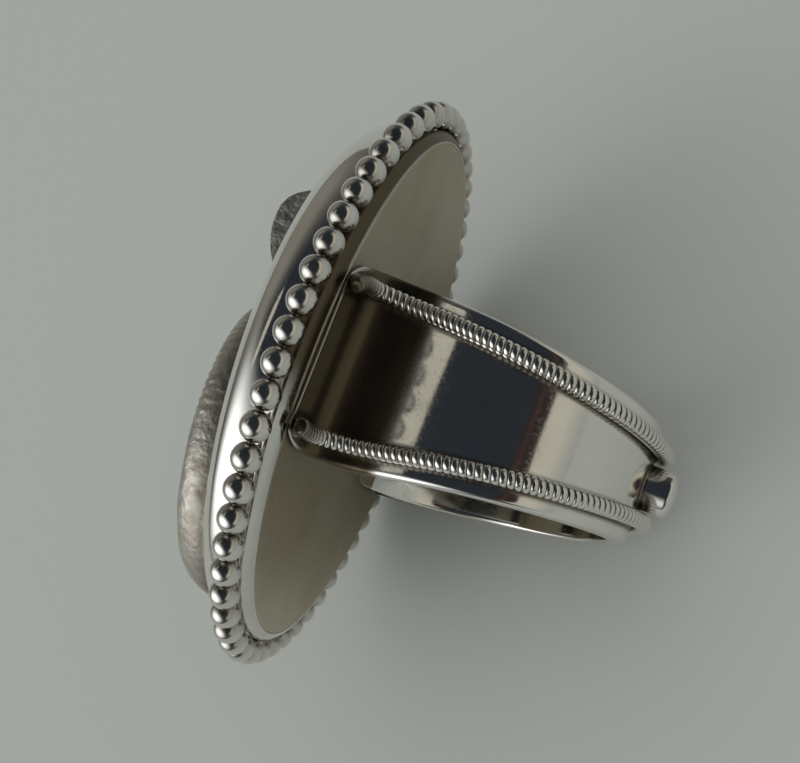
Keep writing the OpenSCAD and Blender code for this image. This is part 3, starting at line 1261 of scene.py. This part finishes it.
@dataclass
class ShellRelief(Piece):
    """Cast spiral shell raised on the dome."""

    node: str = "shell_relief"
    finish: Slot = Slot.CAST
    form: DomeForm = field(default_factory=DomeForm)
    middle_x: float = 0.24
    middle_y: float = -4.73
    squash: float = 0.72
    radius: float = 11.3
    growth: float = 1.99
    rise: float = 0.38
    skew: float = 1.88
    groove_h: float = 0.7
    mouth: float = math.radians(83)
    turns: int = 3
    turn_steps: int = 540
    across: int = 16
    ribs: int = 88
    rib_h: float = 0.2
    rib_lag: float = 1.4
    rib_power: float = 0.8
    worn_part: float = 0.85
    worn_from: Span = (0.42, 0.5)
    worn_to: Span = (0.72, 0.8)
    lines: int = 6
    line_part: float = 0.45
    line_sway: float = 0.4
    line_bends: int = 5
    edge_tarnish: float = 0.5
    rib_tarnish: float = 0.45
    rib_clean: float = 0.65
    under_tarnish: float = 0.6

    def edge(self, turned: Array | float) -> Array:
        """Radius of the whorl's edge, which halves with each turn inwards."""
        return self.radius * np.power(self.growth, 0.5 - turned)

    def relief(self, turned: Array, t: Array) -> Array:
        """Height of the ribs and lengthwise lines over the smooth whorl.

        Ribs are waves of a fixed number to the turn that lag towards the inner
        edge. Where the shell's back is worn they give way to lines along the
        whorl, which sway. Both fade at the whorl's edges.

        Args:
            turned: turns inwards from the mouth.
            t: part of the whorl's width, from its inner to its outer edge.

        Returns:
            The height, for a whorl of full size.
        """
        fade = np.sin(math.pi * np.clip(t, 0, 1)) ** 0.5
        worn = smooth(turned, self.worn_from) * (1 - smooth(turned, self.worn_to))
        wave = np.cos(2 * math.pi * (self.ribs * turned + self.rib_lag * (1 - t)))
        rib = (0.5 + 0.5 * wave) ** self.rib_power
        sway = self.line_sway * np.sin(2 * math.pi * self.line_bends * turned)
        line = 0.5 + 0.5 * np.sin(2 * math.pi * (self.lines * t + sway))
        left = (1 - self.worn_part * worn) * rib
        return self.rib_h * fade * (left + self.line_part * worn * line)

    def surface(self) -> Surface:
        """Ribbon that winds inwards over the dome, raised and underside, closed by its rim.

        A point lies between the whorl's inner and outer edge, at an angle that
        turns with the spiral. The raised side is half an oval across the whorl,
        highest towards the outer edge, above grooves of one height. Tarnish
        lies in these grooves and between the ribs.

        Returns:
            The closed surface.
        """
        columns = self.turns * self.turn_steps
        part = (1 - np.cos(np.linspace(0, math.pi, self.across + 1))) / 2
        t = np.broadcast_to(part, (columns + 1, self.across + 1))
        turned = np.arange(columns + 1)[:, None] / self.turn_steps
        outer, inner = self.edge(turned), self.edge(turned + 1)
        width = outer - inner
        radius = inner * (1 - t) + outer * t
        angle = self.mouth + 2 * math.pi * turned
        x = self.middle_x + self.squash * radius * np.cos(angle)
        y = self.middle_y + radius * np.sin(angle)
        base = self.form.rise(x, y)
        swell = np.sqrt(np.maximum(0, 1 - (2 * t ** self.skew - 1) ** 2))
        size = np.minimum(1, width / (self.edge(0.5) - self.edge(1.5)))
        detail = self.relief(turned, t) * size
        raised = base + self.groove_h + self.rise * width * swell + detail
        middle = [self.middle_x, self.middle_y]
        middle_z = self.form.rise(*middle)
        points = np.concatenate([
            as_points(x, y, raised), [[*middle, middle_z + self.groove_h]],
            as_points(x, y, base + GAP), [[*middle, middle_z + GAP]],
        ])
        between = np.clip(self.rib_clean - detail / (self.rib_h * size), 0, 1)
        patina_and_shade = self.edge_tarnish * (1 - swell) ** 2 + self.rib_tarnish * between
        patina_and_shade = np.append(np.clip(patina_and_shade, 0, 1), 1)
        patina_and_shade = np.append(patina_and_shade, np.full(len(patina_and_shade), self.under_tarnish))
        return Surface(points, self.faces(columns), patina_and_shade)

    def faces(self, columns: int) -> list[Array]:
        """Faces of both sides and of the rim between them.

        The inner edge of one turn is the outer edge of the next one in, so
        both share that edge's points.

        Args:
            columns: number of steps along the ribbon.

        Returns:
            Quads of both sides and the rim, and the fans in the middle.
        """
        stride = self.across + 1
        index = np.arange((columns + 1) * stride).reshape(columns + 1, stride)
        index[: columns + 1 - self.turn_steps, 0] = index[self.turn_steps:, -1]
        near, far = index[:-1], index[1:]
        front = [near[:, :-1], far[:, :-1], far[:, 1:], near[:, 1:]]
        front = np.stack(front, axis=-1).reshape(-1, 4)
        layer = (columns + 1) * stride + 1
        inner = index[columns - 1: columns - self.turn_steps: -1, 0]
        hub = fan(np.append(index[-1, ::-1], inner), layer - 1)
        rim = np.append(index[0], index[1: self.turn_steps + 1, -1])
        walls = np.stack([rim[:-1], rim[1:], rim[1:] + layer, rim[:-1] + layer], axis=-1)
        return [front, front[:, ::-1] + layer, walls, hub, hub[:, ::-1] + layer]


# Studio


def direction(azimuth: float, height: float) -> Array:
    """Unit direction that points at a place in the studio.

    Args:
        azimuth: turn from +X towards +Y, in degrees.
        height: angle above the floor, in degrees.

    Returns:
        Its x, y and z.
    """
    around, up = math.radians(azimuth), math.radians(height)
    flat = math.cos(up)
    return np.array([flat * math.cos(around), flat * math.sin(around), math.sin(up)])


def aim(target: bpy.types.Object, place: Array, right: Array, back: Array) -> None:
    """Sets an object's place, in metres, and the directions of its X and Z axes."""
    axes = np.eye(4)
    axes[:3, :4] = np.column_stack([right, np.cross(back, right), back, place])
    target.matrix_world = Matrix(axes.tolist())


@dataclass(frozen=True)
class SoftPatch:
    """Soft oval patch of light or shade on the studio's walls. Angles are in degrees."""

    azimuth: float
    height: float
    wide: float
    tall: float
    core: float
    colour: Colour
    gain: float = 1.0

    def over(
        self, board: NodeBoard, way: bpy.types.NodeSocket, below: object
    ) -> bpy.types.NodeSocket:
        """Lays the patch over what lies behind it.

        The patch is full within its core and gone at its edge. In between, it
        fades with the distance from its middle, as a part of its half sizes.

        Args:
            board: the world's nodes.
            way: direction that is looked in.
            below: colour behind the patch.

        Returns:
            The colour with the patch.
        """
        aside = board.along(way, direction(self.azimuth + 90, 0.0))
        above = board.along(way, direction(self.azimuth, self.height + 90))
        squares = []
        for part, half in ((aside, self.wide), (above, self.tall)):
            share = board.maths(Sum.TIMES, part, 1 / math.sin(math.radians(half)))
            squares.append(board.maths(Sum.TIMES, share, share))
        away = board.maths(Sum.ROOT, board.maths(Sum.ADD, *squares))
        share = board.spread(away, (self.core, 1.0), (1.0, 0.0), soft=True)
        towards = board.along(way, direction(self.azimuth, self.height))
        ahead = board.maths(Sum.ABOVE, towards)
        colour = tuple(self.gain * channel for channel in self.colour)
        return board.mixed(board.maths(Sum.TIMES, share, ahead), below, colour)


@dataclass(frozen=True)
class SoftLamp:
    """Soft lamp that faces the ring, from an azimuth and a height in degrees.

    Its size and distance are in metres. Polished metal doesn't show it, and
    mirrors the walls' patches in its place.
    """

    name: str
    azimuth: float
    height: float
    size: tuple[float, float]
    watts: float
    distance: float = 0.8

    def build(self) -> None:
        """Hangs the lamp in the studio."""
        light = bpy.data.lights.new(self.name, "AREA")
        light.shape = "RECTANGLE"
        light.size, light.size_y = self.size
        light.energy = self.watts
        lamp = linked(self.name, light)
        back = direction(self.azimuth, self.height)
        aim(lamp, back * self.distance, direction(self.azimuth + 90, 0.0), back)
        lamp.visible_glossy = False


@dataclass(frozen=True)
class PhotoCamera:
    """Camera at the photograph's place, in metres and degrees, with its lens in millimetres."""

    place: tuple[float, float, float] = (0.0430, -0.0088, 0.0678)
    heading: float = 168.67
    down: float = 52.27
    roll: float = -59.69
    lens: float = 58.14
    sensor: float = 36.0
    clip: Span = (0.002, 20.0)

    def build(self) -> None:
        """Puts the camera in place, turned about its own axis as the photograph is."""
        data = bpy.data.cameras.new("camera")
        data.lens = self.lens
        data.sensor_fit = "HORIZONTAL"
        data.sensor_width = self.sensor
        data.clip_start, data.clip_end = self.clip
        ahead = direction(self.heading, -self.down)
        level = direction(self.heading - 90, 0.0)
        roll = math.radians(self.roll)
        right = math.cos(roll) * level + math.sin(roll) * np.cross(level, ahead)
        camera = linked("camera", data)
        aim(camera, np.array(self.place), right, -ahead)
        bpy.context.scene.camera = camera


@dataclass
class Studio:
    """Pale floor, walls that polished metal mirrors, soft lamps and the camera.

    Heights on the walls are the sine of the angle above the floor.
    """

    floor_half: float = 2.0
    floor_colour: Colour = (0.51, 0.54, 0.50)
    floor_rough: float = 0.75
    shade: Colour = (0.022, 0.026, 0.032)
    far_side: Colour = (0.06, 0.058, 0.052)
    far_span: Span = (0.1, 0.5)
    pale_side: float = 18.0
    pale_span: Span = (0.35, 0.75)
    horizon: Colour = (0.46, 0.44, 0.37)
    floor_edge: Colour = (0.30, 0.31, 0.285)
    edge_span: Span = (0.0, 0.25)
    rail: Colour = (0.055, 0.030, 0.030)
    panel: Colour = (0.030, 0.022, 0.020)
    band_tops: tuple[float, ...] = (0.64, 0.60, 0.57, 0.45)
    band_soft: float = 0.015
    backdrop: Colour = (0.60, 0.63, 0.60)
    ambient: Colour = (0.58, 0.58, 0.58)
    patches: tuple[SoftPatch, ...] = (
        SoftPatch(150, 22, 60, 44, 0.3, (0.20, 0.19, 0.165)),
        SoftPatch(166, 66, 14, 4.5, 0.8, (0.44, 0.42, 0.35)),
        SoftPatch(-122, 38, 60, 44, 0.2, (1.0, 1.0, 0.98), 1.9),
    )
    lamps: tuple[SoftLamp, ...] = (
        SoftLamp("key", -110, 35, (0.8, 0.6), 0.1),
        SoftLamp("fill", 20, 80, (1.2, 1.2), 0.3),
    )
    camera: PhotoCamera = field(default_factory=PhotoCamera)

    def floor(self, height: float) -> None:
        """Flat floor under the ring, at this place on Z in metres."""
        sides = ((-1, -1), (1, -1), (1, 1), (-1, 1))
        corners = [(x * self.floor_half, y * self.floor_half, height) for x, y in sides]
        mesh = bpy.data.meshes.new("floor")
        mesh.from_pydata(corners, [], [(0, 1, 2, 3)])
        made = bpy.data.materials.new("pale_floor")
        made.use_nodes = True
        board = NodeBoard(made.node_tree)
        board.shade(Base_Color=(*self.floor_colour, 1.0), Roughness=self.floor_rough)
        mesh.materials.append(made)
        floor = linked("floor", mesh)
        floor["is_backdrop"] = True

    def walls(self) -> None:
        """Dark walls with soft patches, banded and pale on one side, plain where seen directly."""
        world = bpy.data.worlds.new("studio")
        world.use_nodes = True
        bpy.context.scene.world = world
        board = NodeBoard(world.node_tree)
        way = board.add("ShaderNodeTexCoord").outputs["Generated"]
        height = board.feed(board.add("ShaderNodeSeparateXYZ"), Vector=way).outputs["Z"]
        side = board.along(way, direction(self.pale_side, 0.0))
        side = board.spread(side, self.pale_span, soft=True)
        pale = board.mixed(board.spread(height, self.edge_span), self.floor_edge, self.horizon)
        colour = board.mixed(board.spread(height, self.far_span), self.far_side, self.shade)
        for top, band in zip(self.band_tops, (self.panel, self.rail, self.panel, pale)):
            span = (top - self.band_soft, top + self.band_soft)
            low = board.spread(height, span, (1.0, 0.0), soft=True)
            colour = board.mixed(board.maths(Sum.TIMES, low, side), colour, band)
        for patch in self.patches:
            colour = patch.over(board, way, colour)
        path = board.add("ShaderNodeLightPath")
        colour = board.mixed(path.outputs["Is Camera Ray"], colour, self.backdrop)
        colour = board.mixed(path.outputs["Is Diffuse Ray"], colour, self.ambient)
        back = board.feed(board.add("ShaderNodeBackground"), Color=colour)
        board.feed(board.add("ShaderNodeOutputWorld"), Surface=back.outputs[0])

    def build(self, floor_height: float) -> None:
        """Builds the floor, the walls, the lamps and the camera.

        Args:
            floor_height: the floor's place on Z, in metres.
        """
        self.floor(floor_height)
        self.walls()
        for lamp in self.lamps:
            lamp.build()
        self.camera.build()
        bpy.context.scene.view_settings.view_transform = "Standard"


def main() -> None:
    """Builds the ring's pieces on the frame, then the studio."""
    logging.basicConfig(level=logging.INFO, format="%(name)s: %(message)s")
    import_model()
    box = [[list(corner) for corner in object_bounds()]]
    band, head = BandLine(), HeadLine()
    pose = RestPose(head.rest_lean(band))
    materials = {finish.slot: finish.material() for finish in FINISHES}
    pieces = [
        Shank(band=band),
        WoundWire(node="coil_wire_top", band=band, edge=Edge.TOP),
        WoundWire(node="coil_wire_bottom", band=band, edge=Edge.BOTTOM),
        BaseCollet(band=band),
        BackPlate(head=head),
        RimWall(head=head),
        BeadRow(head=head),
        Dome(form=DomeForm(head)),
        ShellRelief(form=DomeForm(head)),
    ]
    for piece in pieces:
        piece.dress(piece.build(pose), materials)
    Studio().build(box[0][0][2])
    box.append([list(corner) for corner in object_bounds()])
    log.info("boxes: %s", box)


if __name__ == "__main__":
    main()
